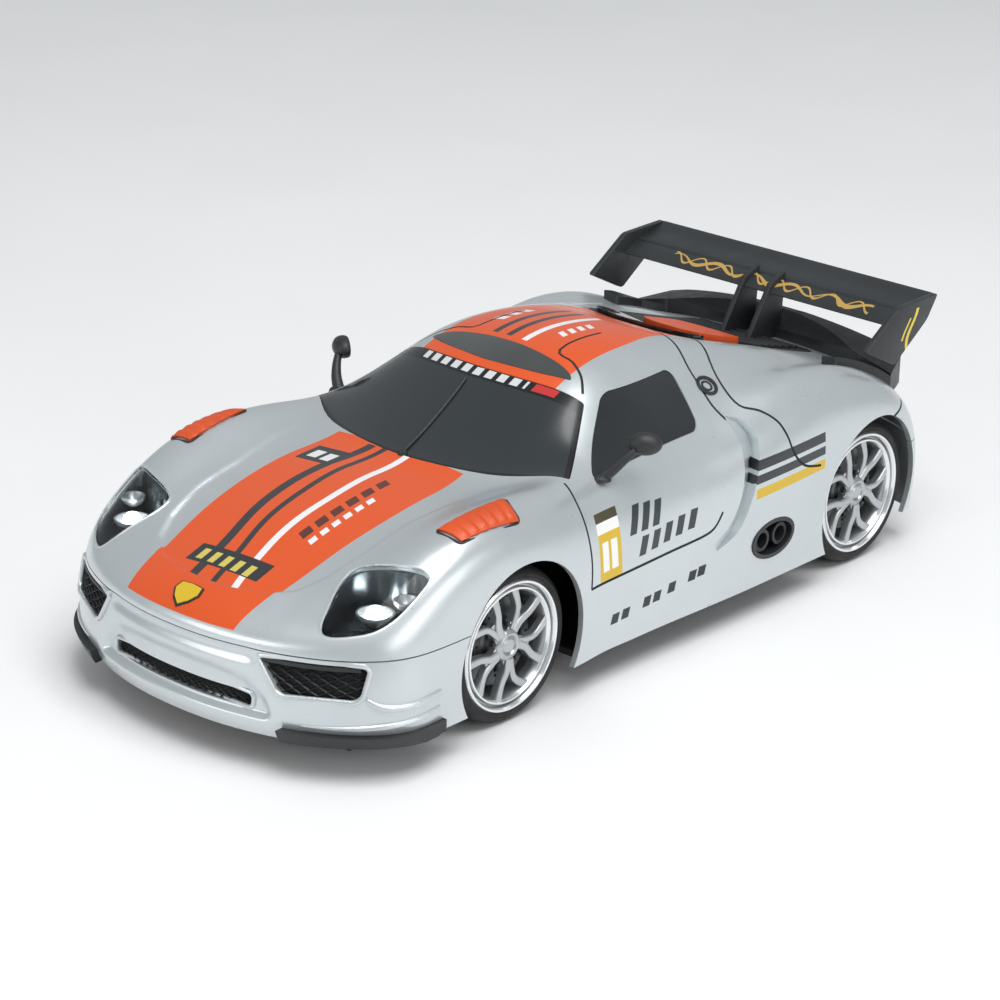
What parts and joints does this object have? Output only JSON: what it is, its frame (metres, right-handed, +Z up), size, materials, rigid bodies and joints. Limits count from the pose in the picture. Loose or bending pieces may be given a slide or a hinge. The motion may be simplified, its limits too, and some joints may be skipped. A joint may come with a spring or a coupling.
{
  "type": "remote control car",
  "caption": "Radio-controlled sports coupe with a painted shell, smoked windows, rear wing, steered front wheels and a geared rear axle on a moulded chassis.",
  "frame": {"origin": "on the floor under the middle of the car's length and width", "axes": "+X towards the nose, +Y to the car's left, +Z up"},
  "size_m": [0.2754, 0.127, 0.0833],
  "materials": {
    "silver_body": "silver metallic paint, clear-coated",
    "black_plastic": "satin moulded",
    "orange_trim": "gloss",
    "smoked_window": "smoked gloss",
    "clear_lens": "clear polished",
    "lamp_bowl": "vacuum plated",
    "led": "diffuse white",
    "red_lamp": "gloss",
    "grey_nylon": "moulded nylon",
    "gear_nylon": "moulded acetal",
    "brass": "turned",
    "steel": "plated",
    "silver_rim": "silver plated plastic",
    "tyre_rubber": "fine sipes",
    "board_green": "solder mask",
    "battery_wrap": "shrink wrap"
  },
  "bodies": {
    "chassis": {"chassis_pan": "black_plastic", "body_shell": "silver_body", "front_bumper": "silver_body", "rear_bumper": "silver_body", "windshield": "smoked_window", "side_window_left": "smoked_window", "side_window_right": "smoked_window", "engine_cover": "black_plastic", "headlamp_lens_left": "clear_lens", "headlamp_lens_right": "clear_lens", "headlamp_bowl_left": "lamp_bowl", "headlamp_bowl_right": "lamp_bowl", "headlamp_leds": "led", "side_grille_left": "black_plastic", "side_grille_right": "black_plastic", "centre_grille": "black_plastic", "splitter_left": "black_plastic", "splitter_right": "black_plastic", "mirror_left": "black_plastic", "mirror_right": "black_plastic", "pillar_caps": "black_plastic", "side_exhaust_left": "black_plastic", "side_exhaust_right": "black_plastic", "fender_vent_left": "orange_trim", "fender_vent_right": "orange_trim", "ducktail": "black_plastic", "wing_blade": "black_plastic", "wing_struts": "black_plastic", "wing_end_plate_left": "black_plastic", "wing_end_plate_right": "black_plastic", "tail_lamps": "red_lamp", "rear_diffuser": "black_plastic", "gearbox_lower": "grey_nylon", "gearbox_upper": "grey_nylon", "drive_motor": "steel", "steering_servo": "black_plastic", "steering_bridge": "grey_nylon", "axle_bearings": "grey_nylon", "circuit_board": "board_green", "battery_pack": "battery_wrap", "battery_cover": "black_plastic", "power_switch_body": "black_plastic", "body_screws": "steel"},
    "rear_axle": {"rear_shaft": "steel", "axle_gear": "gear_nylon", "rear_rim_left": "silver_rim", "rear_rim_right": "silver_rim", "rear_tyre_left": "tyre_rubber", "rear_tyre_right": "tyre_rubber"},
    "layshaft": {"compound_gear": "gear_nylon"},
    "motor_rotor": {"motor_pinion": "brass"},
    "front_wheel_left": {"front_rim_left": "silver_rim", "front_tyre_left": "tyre_rubber"},
    "front_wheel_right": {"front_rim_right": "silver_rim", "front_tyre_right": "tyre_rubber"},
    "knuckle_left": {"knuckle_left": "grey_nylon"},
    "knuckle_right": {"knuckle_right": "grey_nylon"},
    "tie_rod": {"tie_rod": "grey_nylon"},
    "servo_arm": {"servo_arm": "grey_nylon"},
    "switch_knob": {"power_switch_knob": "black_plastic"}
  },
  "joints": [
    {"name": "rear_axle_spin", "type": "hinge", "parent": "chassis", "child": "rear_axle", "pos_m": [-0.097, 0, 0.0225], "axis": [0, 1, 0], "continuous": true},
    {"name": "layshaft_spin", "type": "hinge", "parent": "chassis", "child": "layshaft", "pos_m": [-0.0844, 0, 0.0225], "axis": [0, 1, 0], "continuous": true},
    {"name": "motor_spin", "type": "hinge", "parent": "chassis", "child": "motor_rotor", "pos_m": [-0.0718, 0, 0.0225], "axis": [0, 1, 0], "continuous": true},
    {"name": "steer_left", "type": "hinge", "parent": "chassis", "child": "knuckle_left", "pos_m": [0.064, 0.0395, 0.0225], "axis": [0, 0, 1], "range_deg": [-20, 20]},
    {"name": "steer_right", "type": "hinge", "parent": "chassis", "child": "knuckle_right", "pos_m": [0.064, -0.0395, 0.0225], "axis": [0, 0, 1], "range_deg": [-20.5, 20.5]},
    {"name": "tie_rod_slide", "type": "slide", "parent": "chassis", "child": "tie_rod", "axis": [0, 1, 0], "range_m": [-0.0043, 0.0043]},
    {"name": "servo_swing", "type": "hinge", "parent": "chassis", "child": "servo_arm", "pos_m": [0.04, 0, 0.025], "axis": [0, 0, 1], "range_deg": [-20.5, 20.5]},
    {"name": "front_wheel_left_spin", "type": "hinge", "parent": "knuckle_left", "child": "front_wheel_left", "pos_m": [0.064, 0.0505, 0.0225], "axis": [0, 1, 0], "continuous": true},
    {"name": "front_wheel_right_spin", "type": "hinge", "parent": "knuckle_right", "child": "front_wheel_right", "pos_m": [0.064, -0.0505, 0.0225], "axis": [0, 1, 0], "continuous": true},
    {"name": "power_switch_slide", "type": "slide", "parent": "chassis", "child": "switch_knob", "axis": [1, 0, 0], "range_m": [0, 0.0048]}
  ],
  "couplings": [
    {"joint": "layshaft_spin", "follows": "rear_axle_spin", "ratio": -2.5},
    {"joint": "motor_spin", "follows": "rear_axle_spin", "ratio": 8},
    {"joint": "steer_right", "follows": "steer_left", "ratio": 1},
    {"joint": "tie_rod_slide", "follows": "steer_left", "m_per_rad": -0.0118},
    {"joint": "servo_swing", "follows": "steer_left", "ratio": -1}
  ]
}
